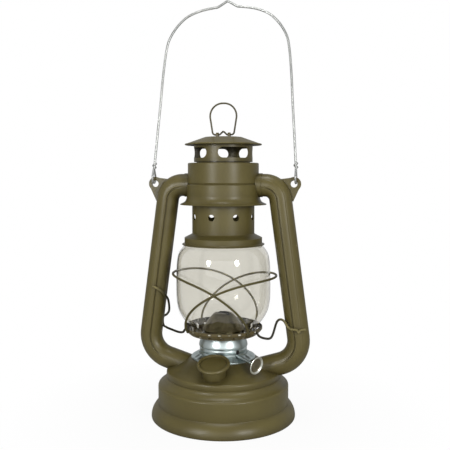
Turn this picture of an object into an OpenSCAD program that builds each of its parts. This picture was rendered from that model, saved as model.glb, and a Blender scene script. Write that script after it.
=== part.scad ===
// Hurricane lantern: an oil tank, two side tubes that carry a barrel, a lifting
// globe carriage, a sprung chimney, a wick adjuster and a carrying bail.
// Millimetres, +Z up, the origin on the table under the lantern's axis.
// The side tubes lie in the XZ plane and the filler is at the front, towards -Y.

/* [Sheet and wire] */
// Thickness of the pressed sheet
sheet = 0.6; // [0.5:0.05:0.8]
// Clearance between fixed pieces that touch
seat_gap = 0.05; // [0.02:0.01:0.1]
// Clearance between pieces that move past each other
run_gap = 0.4; // [0.3:0.05:0.6]
// Radial clearance of a wire or shaft in its hole
pin_gap = 0.06; // [0.02:0.01:0.09]
// Diameter of the guard and lifting wires
guard_d = 1.7; // [1.4:0.1:2]
// Diameter of the lifting ring's wire
ring_d = 1.5; // [1.2:0.1:1.8]
// Diameter of the bail's wire
bail_d = 2.1; // [1.8:0.1:2.5]

/* [Tank] */
// Radius of the foot at its widest
foot_r = 64; // [62:0.5:67]
// Height of the foot's crease
foot_h = 12.4; // [11:0.2:15]
// Width of the flat ring that the lantern stands on
foot_ring_w = 3.5; // [2:0.5:5]
// Width of the foot outside the tank's wall
wall_step = 6.1; // [5:0.1:7]
// Height of the wall over the foot's crease
wall_l = 15.3; // [14:0.1:17]
// Width of the shoulder's cove, inside the wall
cove_w = 6.6; // [6:0.1:7.5]
// Height of the ledge's outer edge over the wall
ledge_rise = 7.5; // [7:0.1:9]
// Slope of the ledge and of the conical dome, in degrees
dome_slope = 36; // [34:0.5:38]
// Width of the ledge outside the dome's lower edge
ledge_w = 4.7; // [3.5:0.1:5.5]
// Radius of the dome's flat top
dome_top_r = 28.9; // [28.6:0.1:30]
// Radius of the hole under the burner
burner_hole_r = 17.5; // [15:0.5:19]
// Height of the tank's bottom plate
bottom_h = 5; // [4:0.5:8]
// Depth of the plate that closes the oil space, under the top of the wall
deck_drop = 1.1; // [0.9:0.1:3]

/* [Filler] */
// Distance of the cap's middle from the dome's flat top
filler_out = 11.1; // [10.1:0.1:12]
// Height of the cap's rim over the dome
filler_rise = 13; // [12.4:0.1:14]
// Tilt of the filler towards the front, in degrees
filler_tilt = 18; // [16:0.5:20]
// Radius of the cap's dished disc
cap_disc_r = 14; // [13:0.25:15]
// Radius of the cap's skirt
cap_skirt_r = 10.4; // [10:0.1:11]
// Length of the cap below its rim
cap_h = 6.7; // [6.2:0.1:6.8]
// Outer radius of the threaded neck
neck_r = 8.2; // [7.5:0.1:8.6]
// Thickness of the cap's gasket
seal_h = 1.1; // [0.8:0.1:1.3]

/* [Burner] */
// Width of the dome's flat top outside the burner's skirt
skirt_inset = 0.4; // [0.2:0.1:1.5]
// Radius of the burner's plain band
band_r = 21; // [20.4:0.1:22]
// Height of the band over its flare
band_l = 3.57; // [3.2:0.01:4.4]
// Bulge of the burner's body outside the band
burner_bulge = 1; // [0.6:0.1:2]
// Step of the burner's body inwards under the gallery
burner_step = 1.7; // [1.2:0.1:2.1]
// Height of the burner's body over the band
burner_l = 14.7; // [14:0.1:16]
// Width of the burner's top outside the flame cone
cone_step = 0.8; // [0.7:0.1:1.8]
// Height of the flame cone's shoulder over the burner
cone_shoulder = 6.5; // [5:0.5:8]
// Height of the flame cone
cone_l = 19; // [17:0.5:21]
// Length and width of the flame slot
flame_slot = [17, 5.6]; // [5:0.1:18]

/* [Wick adjuster] */
// Width and thickness of the wick
wick_size = [12, 1.8]; // [1.6:0.1:13]
// Depth of the top of the wick under the flame cone's top
wick_drop = 0.8; // [0.2:0.1:2]
// Height of the bottom of the wick over the tank's bottom
wick_hang = 9; // [8.5:0.5:11]
// Diameter of the wick shaft
shaft_d = 2.6; // [2:0.1:3]
// Direction of the shaft from the front towards +X, in degrees
shaft_azimuth = 57; // [50:1:62]
// Fall of the shaft towards its knob, in degrees
shaft_fall = 10; // [9:0.5:10.5]
// Height of the shaft's axis beside the wick, over the burner's band
shaft_rise = 2.2; // [1.9:0.1:2.4]
// Radius of the sprockets at the tips of their teeth
sprocket_r = 2.7; // [2.4:0.1:3]
// Number of teeth on a sprocket
sprocket_teeth = 10; // [8:1:12]
// Distance of the knob's back from the wick's middle, along the shaft
knob_reach = 42; // [40:0.5:44]
// Radius of the knob
knob_r = 7.8; // [7:0.1:8.4]

/* [Globe carriage] */
// Clearance of the gallery's floor over the burner
gallery_lift = 0.35; // [0.35:0.05:0.6]
// Width of the gallery's floor outside the globe's lower rim
gallery_room = 0.6; // [0.4:0.1:1.6]
// Width of the gallery's rim outside the globe's lower rim
gallery_flare = 5.2; // [4.6:0.1:6]
// Height of the gallery's rim over its floor
gallery_rim_h = 6.6; // [5.5:0.1:8]
// Diameter of the gallery's holes
gallery_hole_d = 3; // [2:0.2:3.4]
// Number of the gallery's holes in a row
gallery_holes = 20; // [12:1:24]
// Thickness of the globe's glass
glass = 2.2; // [1.8:0.1:2.6]
// Greatest radius of the globe
globe_r = 41.5; // [40.5:0.1:42]
// Radius of the globe's lower rim
globe_foot_r = 29.4; // [29:0.1:29.6]
// Radius of the globe's neck in the chimney's collar
globe_neck_r = 32.9; // [32:0.1:33]
// Height of the globe
globe_l = 84.2; // [82:0.1:86]
// Direction of the guard wires' feet from the front, in degrees
guard_foot_azimuth = 55; // [50:1:60]
// Distance of the guard wires from the globe
guard_room = 4.5; // [4:0.1:4.7]
// Height of the guard wires' far side over the gallery, left and right
guard_l = [53.7, 51.7]; // [49:0.1:56]
// How far the guard wires' far side is bent in, left and right
guard_tuck = [1.8, -0.7]; // [-0.7:0.1:2]

/* [Side tubes and barrel] */
// Outer diameter of the side tubes
tube_d = 19.4; // [18.6:0.1:19.8]
// Height of the tubes' upper run
tube_top_h = 204.6; // [203.7:0.1:206]
// Distance from the barrel to the tubes' upper corner
tube_out = 17.8; // [17:0.2:19]
// Distance from the globe to the tubes' lower corner
tube_room = 27.7; // [26.7:0.1:29]
// Height of the tubes' lower corner over the ledge
tube_rise = 19.1; // [18.5:0.1:20]
// Fall of the tubes' lower run into the dome, in degrees
tube_fall = 17.3; // [16:0.1:19]
// Bend radius of the tubes' upper elbow
elbow_r = 13.5; // [12:0.5:14]
// Bend radius of the tubes' lower bend
low_bend_r = 22; // [20:0.5:23]
// Length of the sleeves that hold the tubes on the barrel
socket_l = 3.5; // [2.5:0.5:5]
// Radius of the barrel
barrel_r = 31; // [30.5:0.1:31.6]
// Depth of the barrel's lower edge under the tubes' upper run
barrel_drop = 16.4; // [15:0.1:18]
// Height of the barrel's top over the tubes' upper run
barrel_rise = 19.3; // [17.6:0.1:19.6]
// Flare of the barrel's lower edge
barrel_flare = 6.9; // [6.4:0.1:8]
// Thickness of the bail ears
ear_t = 1.2; // [1:0.1:1.6]
// Distance from the tubes' upper corner to the ear's hole
ear_out = 13.1; // [12.8:0.1:13.6]
// Height of the ear's hole over the tubes' upper run
ear_rise = 1.1; // [0.6:0.1:1.6]
// Radius of the ear's round end
ear_r = 6.1; // [5.8:0.1:6.4]
// Radius of the ear's hole
ear_hole_r = 2.9; // [2.6:0.1:3]

/* [Chimney] */
// Radius of the perforated sleeve
sleeve_r = 27.3; // [26.5:0.1:27.6]
// Depth of the top of the sleeve under the barrel's top
sleeve_drop = 31.7; // [29:0.1:32.5]
// Room for the globe's neck in the collar
collar_room = 0.6; // [0.4:0.1:1]
// Width of the collar's outward lip
collar_lip = 2.1; // [1.5:0.1:2.3]
// Height of the collar's band
collar_l = 5.6; // [5:0.1:6]
// Clearance of the collar's band over the globe's top
collar_lift = 0.4; // [0.4:0.1:0.8]
// Height of the collar's cone
collar_cone = 3.4; // [3.3:0.1:4.4]
// Diameter of the sleeve's holes
sleeve_hole_d = 5.6; // [4:0.1:6]
// Number of the sleeve's holes
sleeve_holes = 8; // [6:1:10]
// Turn of the chimney's holes and posts from the front, in degrees
chimney_turn = -10; // [-45:1:45]
// Radius of the flue tube
flue_r = 23.3; // [22.8:0.1:23.6]
// Step of the vent ring outside the flue tube
vent_step = 2.3; // [1.9:0.1:2.7]
// Clearance of the vent ring over the barrel
vent_lift = 0.9; // [0.6:0.1:2.4]
// Height of the middle of the vent slots over the vent ring's lower edge
vent_rise = 7.7; // [7.4:0.1:8]
// Height of a vent slot
vent_slot_w = 9; // [8:0.2:9.4]
// Angle that a vent slot spans between the middles of its ends, in degrees
vent_slot_span = 46; // [40:1:50]
// Width of the hood's brim outside the vent ring
hood_w = 7.7; // [7:0.1:8.6]
// Height of the hood's brim over the vent ring's lower edge
hood_rise = 15.4; // [15.2:0.1:16]
// Radius of the hood's flat top
hood_top_r = 16.4; // [15:0.2:17.4]
// Height of the hood
hood_l = 6; // [5.6:0.1:6.6]
// Wire diameter of the chimney's spring
spring_d = 1.4; // [1:0.1:1.6]
// Number of turns of the chimney's spring
spring_turns = 5; // [4:0.5:6]

/* [Ring and bail] */
// Height of the ring's straight wire over the hood
ring_rise = 2.2; // [2:0.1:2.6]
// Height of the ring over its straight wire
ring_l = 27.8; // [25:0.1:31]
// Half the width of the ring's foot
ring_foot_x = 9.3; // [9:0.1:10]
// Half the width of the ring between its upper corners
ring_head_x = 13.6; // [13:0.1:14.5]
// Bend radius of the ring's upper corners
ring_head_r = 11; // [9:0.5:11.5]
// Length of the bail from its pivot to its peak
bail_reach = 157.6; // [154:0.1:160]
// Drop of the bail's shoulders below its peak
bail_drop = 16.6; // [15:0.1:18]
// Half the width of the bail at its shoulders
bail_head_x = 54.4; // [53:0.1:57]
// Bend radius of the bail's shoulders
bail_head_r = 34; // [30:0.5:36]
// Distance of the bail's loops from the middle of the ears' holes, outwards
bail_out = 1.3; // [0:0.1:1.4]
// Lean of the bail towards the back, in degrees
bail_lean = 7; // [0:0.5:12]

/* [Hidden] */
$fn = 96;
// Colours of the paint, the bright metals, the glass, the cotton and the cork
olive = [0.36, 0.33, 0.19];
tin = [0.78, 0.8, 0.8];
zinc = [0.72, 0.73, 0.74];
clear = [0.85, 0.87, 0.85, 0.35];
cotton = [0.9, 0.87, 0.78];
cork = [0.62, 0.45, 0.3];
// Excess length of a cutting tool past the face that it cuts
cut = 1;
// Number of steps in a rounded stretch of an outline, and between points of a curve
arc_steps = 8;
curve_steps = 4;
// Height of the foot where it is widest, and the rounding under it
foot_wide_h = 1;
foot_round = 0.8;
// Widths and heights of the tank's creases
wall_r = foot_r - wall_step;
wall_h = foot_h + wall_l;
ledge_r = wall_r - cove_w;
ledge_h = wall_h + ledge_rise;
dome_lap_r = ledge_r - ledge_w;
deck_h = wall_h - deck_drop;
// Rise of the dome for each millimetre towards the axis
dome_rise = tan(dome_slope);
// Radius of the ledge's upper edge, and the ledge's width under the dome's lap
lap_w = 2;
ledge_lap_r = dome_lap_r - lap_w;
// Height of the dome's outer surface over the ledge's outer surface
lap_step = (sheet + seat_gap) / cos(dome_slope);
// Height of the dome's outer surface at a radius
function dome_at(r) = ledge_h + lap_step + (ledge_r - r) * dome_rise;
dome_top_h = dome_at(dome_top_r);
filler_r = dome_top_r + filler_out;
filler_h = dome_at(filler_r) + filler_rise;
// Width of a flange that is turned over to seat a plate
flange = 4;
skirt_r = dome_top_r - skirt_inset;
skirt_h = dome_top_h + seat_gap + sheet;
// The burner's band and its flare, its body and the flame cone
band_flare = 2;
band_low_h = skirt_h + band_flare;
band_h = band_low_h + band_l;
burner_r = band_r + burner_bulge;
burner_neck_r = band_r - burner_step;
burner_top_h = band_h + burner_l;
cone_r = burner_neck_r - cone_step;
cone_shoulder_h = burner_top_h + cone_shoulder;
cone_top_h = burner_top_h + cone_l;
wick_top_h = cone_top_h - wick_drop;
wick_foot_h = bottom_h + wick_hang;
shaft_h = band_h + shaft_rise;
// The wick tube's inside leaves the wick this much room
wick_room = 0.6;
wick_tube_size = [wick_size[0] + 2 * wick_room + 2 * sheet, wick_size[1] + 2 * wick_room + 2 * sheet];
wick_tube_top_h = wick_top_h - 2;
// The sprockets stand just off the wick's face
sprocket_gap = 0.15;
shaft_offset = wick_size[1] / 2 + sprocket_gap + sprocket_r;
sprocket_t = 0.8;
sprocket_spread = wick_size[0] / 4;
// The gallery, the globe on it and the guard wires round it
gallery_h = burner_top_h + gallery_lift;
gallery_floor_r = globe_foot_r + gallery_room;
gallery_r = globe_foot_r + gallery_flare;
gallery_top = gallery_h + sheet;
globe_low_h = gallery_top + seat_gap;
globe_top_h = globe_low_h + globe_l;
guard_tip_r = globe_r + guard_room;
// The side tubes, the barrel between them and the ears on their elbows
tube_r = tube_d / 2;
tube_top_x = barrel_r + tube_out;
tube_low_x = globe_r + tube_room;
tube_low_h = ledge_h + tube_rise;
barrel_low_h = tube_top_h - barrel_drop;
barrel_top_h = tube_top_h + barrel_rise;
barrel_flare_r = barrel_r + barrel_flare;
ear_x = tube_top_x + ear_out;
ear_h = tube_top_h + ear_rise;
// Where the tubes' lower runs end, inside the dome
tube_end_x = 26;
tube_end_h = tube_low_h - (tube_low_x - tube_end_x) * tan(tube_fall);
tube_path = [
    [barrel_r - 5, tube_top_h], [tube_top_x, tube_top_h], [tube_low_x, tube_low_h], [tube_end_x, tube_end_h]
];
tube_bends = [0, elbow_r, low_bend_r, 0];
// How far the tubes reach through the dome
tube_reach = 1.5;
// The chimney, from the collar over the globe to the hood
collar_r = globe_neck_r + collar_room + sheet;
collar_lip_r = collar_r + collar_lip;
collar_top_h = globe_top_h + collar_lift;
collar_low_h = collar_top_h - collar_l;
collar_cone_h = collar_top_h + collar_cone;
sleeve_top_h = barrel_top_h - sleeve_drop;
sleeve_hole_h = (collar_cone_h + sleeve_top_h) / 2;
vent_r = flue_r + vent_step;
vent_low_h = barrel_top_h + vent_lift;
vent_slot_h = vent_low_h + vent_rise;
hood_r = vent_r + hood_w;
hood_low_h = vent_low_h + hood_rise;
hood_top_h = hood_low_h + hood_l;
ring_low_h = hood_top_h + ring_rise;
ring_top_h = ring_low_h + ring_l;
// The spring's coil is swept in this many steps a turn
curl_rings = 8;
spring_r = (flue_r + run_gap + spring_d / 2) / cos(180 / curl_rings);
seat_ring_r = spring_r + spring_d / 2 + run_gap;
seat_ring_t = 0.8;
flue_low_h = sleeve_top_h + seat_gap;
spring_low_h = flue_low_h + sheet + seat_gap + seat_ring_t + seat_gap;
spring_high_h = barrel_top_h - sheet - seat_gap;
hood_fall = (hood_top_h - hood_low_h) / (hood_r - hood_top_r);
// The bail's loop hangs in the outer part of the ear's hole and turns about its own middle
bail_loop_r = 4.5;
bail_x = ear_x + bail_out;
bail_pivot_h = ear_h + sqrt(pow(ear_hole_r - bail_d / 2 - run_gap, 2) - pow(bail_out, 2)) + bail_loop_r;
bail_neck = 11.8;

// Points on an arc from one angle to another about a centre
function arc(centre, r, a0, a1, n = arc_steps) =
    [for (i = [0:n]) centre + r * [cos(a0 + (a1 - a0) * i / n), sin(a0 + (a1 - a0) * i / n)]];

function unit(v) = v / norm(v);
function left_normal(a, b) = let (d = unit(b - a)) [-d[1], d[0]];

// Direction in which a corner of a sheet's outline moves when the sheet gets its thickness
function miter(p, i) =
    i == 0 ? left_normal(p[0], p[1]) :
    i == len(p) - 1 ? left_normal(p[i - 1], p[i]) :
    let (a = left_normal(p[i - 1], p[i]), b = left_normal(p[i], p[i + 1])) (a + b) / (1 + a * b);

// Closed outline of a sheet whose thickness lies to the left of a path
function thicken(p, t) = concat(p, [for (i = [len(p) - 1:-1:0]) p[i] + t * miter(p, i)]);

// Smooth curve through points, with n steps between each two
function spline_point(p, i, u) =
    let (
        last = len(p) - 1,
        p0 = i == 0 ? 2 * p[0] - p[1] : p[i - 1],
        p1 = p[i],
        p2 = p[i + 1],
        p3 = i + 2 > last ? 2 * p[last] - p[last - 1] : p[i + 2]
    )
    0.5 * (2 * p1 + (p2 - p0) * u + (2 * p0 - 5 * p1 + 4 * p2 - p3) * u * u
        + (3 * p1 - p0 - 3 * p2 + p3) * u * u * u);
function spline(p, n) =
    concat([for (i = [0:len(p) - 2], k = [0:n - 1]) spline_point(p, i, k / n)], [p[len(p) - 1]]);

// A piece of pressed sheet, turned about the lantern's axis
module turned_sheet(path, t = sheet) {
    rotate_extrude() polygon(thicken(path, t));
}

// How far straight runs reach into bends, and how much thicker a bend is, each side
bend_lap = 0.1;
bend_swell = 0.01;
tube_swell = 0.15;

// A round rod bent in the XY plane along a path, with a bend radius at each corner
function bend_reach(p, r, i) =
    i == 0 || i == len(p) - 1 ? 0 :
    let (d0 = unit(p[i] - p[i - 1]), d1 = unit(p[i + 1] - p[i])) r[i] * tan(acos(d0 * d1) / 2);
module bent_rod(p, r, d, swell = bend_swell) {
    for (i = [0:len(p) - 2]) {
        way = unit(p[i + 1] - p[i]);
        start = p[i] + way * (bend_reach(p, r, i) - (i > 0 ? bend_lap : 0));
        stop = p[i + 1] - way * (bend_reach(p, r, i + 1) - (i < len(p) - 2 ? bend_lap : 0));
        translate([start[0], start[1], 0])
            rotate([0, 90, atan2(way[1], way[0])])
                cylinder(h = norm(stop - start), d = d);
    }
    for (i = [1:len(p) - 2]) {
        d0 = unit(p[i] - p[i - 1]);
        d1 = unit(p[i + 1] - p[i]);
        side = sign(d0[0] * d1[1] - d0[1] * d1[0]);
        from = p[i] - d0 * bend_reach(p, r, i);
        to = p[i] + d1 * bend_reach(p, r, i);
        centre = from + side * r[i] * [-d0[1], d0[0]];
        first = side > 0 ? from - centre : to - centre;
        translate([centre[0], centre[1], 0])
            rotate([0, 0, atan2(first[1], first[0])])
                rotate_extrude(angle = acos(d0 * d1))
                    translate([r[i], 0])
                        circle(d = d + 2 * swell);
    }
}

// Stands a shape drawn in XY up in the XZ plane
module upright() {
    rotate([90, 0, 0]) children();
}

// A wire swept along points in space, as one closed skin of triangles
function tangent(p, i) = unit(p[min(i + 1, len(p) - 1)] - p[max(i - 1, 0)]);
function square_to(v, t) = unit(v - (v * t) * t);
function ring_normals(p, i, n) =
    i == len(p) ? [] :
    let (m = square_to(n, tangent(p, i))) concat([m], ring_normals(p, i + 1, m));
module swept_wire(p, d, first_normal, sides = 8) {
    n = ring_normals(p, 0, first_normal);
    count = len(p);
    points = concat([p[0], p[count - 1]], [
        for (i = [0:count - 1], k = [0:sides - 1])
            let (a = 360 * k / sides, t = tangent(p, i))
                p[i] + d / 2 * (cos(a) * n[i] + sin(a) * cross(t, n[i]))
    ]);
    function at(i, k) = 2 + i * sides + k % sides;
    faces = concat(
        [for (k = [0:sides - 1]) [0, at(0, k), at(0, k + 1)]],
        [for (k = [0:sides - 1]) [1, at(count - 1, k + 1), at(count - 1, k)]],
        [for (i = [0:count - 2], k = [0:sides - 1]) [at(i, k), at(i + 1, k), at(i + 1, k + 1)]],
        [for (i = [0:count - 2], k = [0:sides - 1]) [at(i, k), at(i + 1, k + 1), at(i, k + 1)]]
    );
    polyhedron(points, faces);
}

// Both side tubes as solid rods, grown by a clearance, to cut what they pass through
module tube_rods(gap) {
    for (side = [0, 1])
        mirror([side, 0, 0]) upright() bent_rod(tube_path, tube_bends, tube_d + 2 * gap, tube_swell);
}

// Radius of the foot's outside at a height above its widest line
foot_bulge = (pow(foot_r - wall_r, 2) + pow(foot_h - foot_wide_h, 2)) / (2 * (foot_r - wall_r));
function foot_at(h) = foot_r - foot_bulge + sqrt(pow(foot_bulge, 2) - pow(h - foot_wide_h, 2));
// The rounded top of the wall, and the cove between it and the ledge
wall_round = 2.3;
wall_round_end = 70;
cove_depth = 0.8;
cove_start = arc([wall_r - wall_round, wall_h], wall_round, 0, wall_round_end)[arc_steps];
cove_end = [ledge_r, ledge_h];
function cove(u) = cove_start + (cove_end - cove_start) * u
    + cove_depth * 4 * u * (1 - u) * left_normal(cove_start, cove_end);
shell_path = concat(
    [[foot_r - foot_round - foot_ring_w, 0]],
    arc([foot_r - foot_round, foot_round], foot_round, -90, 0),
    arc([foot_r - foot_bulge, foot_wide_h], foot_bulge, 0, asin((foot_h - foot_wide_h) / foot_bulge)),
    arc([wall_r - wall_round, wall_h], wall_round, 0, wall_round_end),
    [for (i = [1:arc_steps]) cove(i / arc_steps)],
    [[ledge_lap_r, ledge_h + (ledge_r - ledge_lap_r) * dome_rise]]
);
module tank_shell() {
    color(olive) difference() {
        turned_sheet(shell_path);
        tube_rods(seat_gap);
    }
}

// A flat plate with its edge turned down, its top at a height
plate_round = 1.5;
module flanged_plate(r, top) {
    turned_sheet(
        concat(
            [[0, top]],
            arc([r - plate_round, top - plate_round], plate_round, 90, 0),
            [[r, top - flange]]
        ),
        -sheet
    );
}
bottom_r = foot_at(bottom_h + sheet) - sheet - 4 * seat_gap;
module tank_bottom() {
    color(olive) flanged_plate(bottom_r, bottom_h + sheet);
}

module fuel_deck() {
    color(olive) difference() {
        flanged_plate(wall_r - sheet - seat_gap, deck_h + sheet);
        at_wick() wick_tube_block(seat_gap);
        at_filler() translate([0, 0, -filler_l - cut]) cylinder(h = filler_l + cut, r = neck_r + seat_gap);
    }
}

dome_path = [[dome_lap_r, dome_at(dome_lap_r)], [dome_top_r, dome_top_h], [burner_hole_r, dome_top_h]];
module tank_dome() {
    color(olive) difference() {
        turned_sheet(dome_path);
        tube_rods(seat_gap);
        at_filler() translate([0, 0, -filler_l]) cylinder(h = filler_l, r = neck_r + seat_gap);
    }
}
// Everything under the dome's outer surface, raised or lowered
module under_dome(lift) {
    rotate_extrude()
        polygon([
            [0, 0], [wall_r, 0], [wall_r, dome_at(wall_r) + lift],
            [dome_top_r, dome_top_h + lift], [0, dome_top_h + lift]
        ]);
}

// The filler's own frame: its origin in the plane of the cap's rim, its Z along the neck
filler_l = (filler_h - deck_h + flange) / cos(filler_tilt);
module at_filler() {
    translate([0, -filler_r, filler_h]) rotate([filler_tilt, 0, 0]) children();
}
cap_top_t = 1.2;
cap_dish = 1.8;
seal_low = cap_dish + cap_top_t + seat_gap + seal_h;
neck_top = seal_low + run_gap;
boss_top = cap_h + run_gap;
boss_r = cap_skirt_r - run_gap;
module filler_neck() {
    color(olive) difference() {
        union() {
            difference() {
                at_filler() translate([0, 0, -filler_l]) cylinder(h = filler_l - boss_top, r = boss_r);
                under_dome(seat_gap);
                translate([0, 0, dome_top_h]) cylinder(h = filler_h, r = skirt_r + seat_gap);
            }
            at_filler() translate([0, 0, -filler_l]) cylinder(h = filler_l - neck_top, r = neck_r);
        }
        at_filler() translate([0, 0, -filler_l - cut]) cylinder(h = filler_l + 2 * cut, r = neck_r - sheet);
    }
}
thread_gap = 0.1;
cap_rim = 2.8;
module filler_cap() {
    color(olive) at_filler() rotate_extrude()
        polygon(concat(
            [[0, -cap_dish], [cap_disc_r - cap_rim, -cap_dish]],
            arc([cap_disc_r - cap_rim / 2, -cap_rim / 2], cap_rim / 2, 150, -60),
            [
                [cap_skirt_r, -cap_dish - cap_top_t], [cap_skirt_r, -cap_h], [neck_r + thread_gap, -cap_h],
                [neck_r + thread_gap, -cap_dish - cap_top_t], [0, -cap_dish - cap_top_t]
            ]
        ));
}
seal_hole_r = 4.6;
module cap_seal() {
    color(cork) at_filler() translate([0, 0, -seal_low]) difference() {
        cylinder(h = seal_h, r = neck_r - seat_gap);
        translate([0, 0, -cut]) cylinder(h = seal_h + 2 * cut, r = seal_hole_r);
    }
}

// The wick's frame: its X along the shaft's direction in plan
module at_wick() {
    rotate([0, 0, shaft_azimuth - 90]) children();
}
// The shaft's frame: its Z along the shaft, outwards, its origin beside the wick
module at_shaft() {
    at_wick() translate([0, -shaft_offset, shaft_h]) rotate([0, 90 + shaft_fall, 0]) children();
}
module wick_tube_block(gap) {
    size = [wick_tube_size[0] + 2 * gap, wick_tube_size[1] + 2 * gap, wick_tube_top_h - wick_tube_low_h];
    translate([-size[0] / 2, -size[1] / 2, wick_tube_low_h]) cube(size);
}
wick_tube_low_h = deck_h - flange;
plate_t = 0.8;
plate_hole_r = 13.5;
plate_hole_d = 3.6;
plate_holes = 12;
module burner_plate() {
    color(tin) difference() {
        translate([0, 0, dome_top_h + seat_gap]) cylinder(h = plate_t, r = band_r - sheet - seat_gap);
        at_wick() wick_tube_block(seat_gap);
        for (k = [0:plate_holes - 1])
            rotate([0, 0, 360 * (k + 0.5) / plate_holes])
                translate([plate_hole_r, 0, 0])
                    cylinder(h = dome_top_h + plate_t + cut, d = plate_hole_d);
    }
}
skirt_rise = 0.8;
module burner_skirt() {
    color(tin) difference() {
        turned_sheet([
            [skirt_r, skirt_h], [band_r + band_flare, skirt_h + skirt_rise], [band_r, band_low_h],
            [band_r, band_h]
        ]);
        shaft_slot();
    }
}
// The slot in the burner's side that the shaft comes out through
slot_w = shaft_d + 2 * run_gap;
module shaft_slot() {
    at_wick()
        translate([band_r - flange, -shaft_offset - slot_w / 2, band_low_h])
            cube([2 * flange, slot_w, band_h + seat_gap - band_low_h]);
}
spigot_r = band_r - sheet - seat_gap;
spigot_l = 2.2;
body_step = 0.6;
// Shares of the body's height at its widest, and at two points above
body_wide = [0.163, 0.4, 0.694];
body_ease = 0.3;
module burner_body() {
    color(tin) difference() {
        turned_sheet(concat(
            [[spigot_r, band_h - spigot_l], [spigot_r, band_h + seat_gap], [burner_r, band_h + body_step]],
            spline([
                [burner_r, band_h + body_wide[0] * burner_l],
                [burner_r - body_ease, band_h + body_wide[1] * burner_l],
                [(burner_r + burner_neck_r) / 2, band_h + body_wide[2] * burner_l],
                [burner_neck_r, burner_top_h - body_step]
            ], curve_steps),
            [[burner_neck_r - body_step, burner_top_h], [cone_r - flange / 2, burner_top_h]]
        ));
        shaft_slot();
    }
}
cone_crown_r = 9;
cone_crown_drop = 1.6;
cone_ease = [1, 2];
module burner_cone() {
    base = burner_top_h + seat_gap;
    color(tin) difference() {
        turned_sheet(concat(
            [[cone_r, base]],
            spline([
                [cone_r, cone_shoulder_h - cone_ease[1]], [cone_r - cone_ease[0], cone_shoulder_h],
                [cone_crown_r, cone_top_h - cone_crown_drop],
                [cone_crown_r / 2, cone_top_h - cone_crown_drop / 4], [flame_slot[1] / 4, cone_top_h]
            ], curve_steps)
        ));
        at_wick()
            translate([-flame_slot[0] / 2, -flame_slot[1] / 2, cone_shoulder_h])
                cube([flame_slot[0], flame_slot[1], cone_top_h]);
    }
}
// Two lugs on the wick tube carry the shaft
lug_r = 2.6;
lug_t = 1;
lug_spread = sprocket_spread + sprocket_t / 2 + run_gap;
window_l = 2 * lug_spread;
module wick_tube() {
    color(tin) difference() {
        union() {
            at_wick() wick_tube_block(0);
            for (side = [-1, 1])
                at_shaft() translate([0, 0, side * (lug_spread + lug_t / 2) - lug_t / 2]) {
                    cylinder(h = lug_t, r = lug_r);
                    translate([-lug_r, 0, 0])
                        cube([2 * lug_r, shaft_offset - wick_size[1] / 2 - wick_room, lug_t]);
                }
        }
        at_wick()
            translate([-wick_size[0] / 2 - wick_room, -wick_size[1] / 2 - wick_room, 0])
                cube([wick_size[0] + 2 * wick_room, wick_size[1] + 2 * wick_room, cone_top_h]);
        at_wick()
            translate([-window_l / 2, -wick_tube_size[1] / 2 - cut, shaft_h - sprocket_r - 2 * run_gap])
                cube([window_l, wick_tube_size[1] / 2 + cut, 2 * (sprocket_r + 2 * run_gap)]);
        at_shaft() translate([0, 0, -knob_reach]) cylinder(h = 2 * knob_reach, d = shaft_d + 2 * pin_gap);
    }
}
module wick() {
    color(cotton) at_wick()
        translate([-wick_size[0] / 2, -wick_size[1] / 2, wick_foot_h])
            cube([wick_size[0], wick_size[1], wick_top_h - wick_foot_h]);
}
shaft_tail = lug_spread + lug_t + 1.5;
module wick_shaft() {
    color(zinc) at_shaft() translate([0, 0, -shaft_tail]) cylinder(h = shaft_tail + knob_reach, d = shaft_d);
}
tooth_root = 0.72;
hub_r = 1.75;
module wick_sprockets() {
    length = 2 * sprocket_spread + sprocket_t;
    color(zinc) at_shaft() difference() {
        union() {
            for (side = [-1, 1])
                translate([0, 0, side * sprocket_spread - sprocket_t / 2])
                    linear_extrude(sprocket_t)
                        polygon([
                            for (k = [0:2 * sprocket_teeth - 1])
                                let (a = 180 * k / sprocket_teeth)
                                    (k % 2 == 0 ? 1 : tooth_root) * sprocket_r * [cos(a), sin(a)]
                        ]);
            translate([0, 0, -sprocket_spread]) cylinder(h = 2 * sprocket_spread, r = hub_r);
        }
        translate([0, 0, -length]) cylinder(h = 2 * length, d = shaft_d + 2 * seat_gap);
    }
}
// The knob is a dished disc with a raised rim
knob_t = 1;
knob_depth = 2.4;
knob_rim = 2.4;
module wick_knob() {
    color(zinc) at_shaft() translate([0, 0, knob_reach + seat_gap]) rotate_extrude()
        polygon(concat(
            [[0, 0], [knob_r - knob_rim, 0]],
            arc([knob_r - knob_t / 2, knob_depth - knob_t / 2], knob_t / 2, -30, 150),
            [[knob_r - knob_rim, knob_t], [0, knob_t]]
        ));
}

gallery_turn_h = gallery_h + 3.2;
gallery_ease = [1, 1.4];
// Distances of the two rows of holes from the globe's lower rim
hole_rows = [-5, 2.4];
module gallery() {
    color(olive) difference() {
        turned_sheet([
            [cone_r + 2 * run_gap, gallery_h], [gallery_floor_r, gallery_h],
            [gallery_r - gallery_ease[0], gallery_turn_h], [gallery_r, gallery_turn_h + gallery_ease[1]],
            [gallery_r, gallery_h + gallery_rim_h]
        ]);
        for (row = [0, 1], k = [0:gallery_holes - 1])
            rotate([0, 0, 360 * (k + row / 2) / gallery_holes])
                translate([globe_foot_r + hole_rows[row], 0, gallery_h - cut])
                    cylinder(h = gallery_rim_h, d = gallery_hole_d);
    }
}
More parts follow.
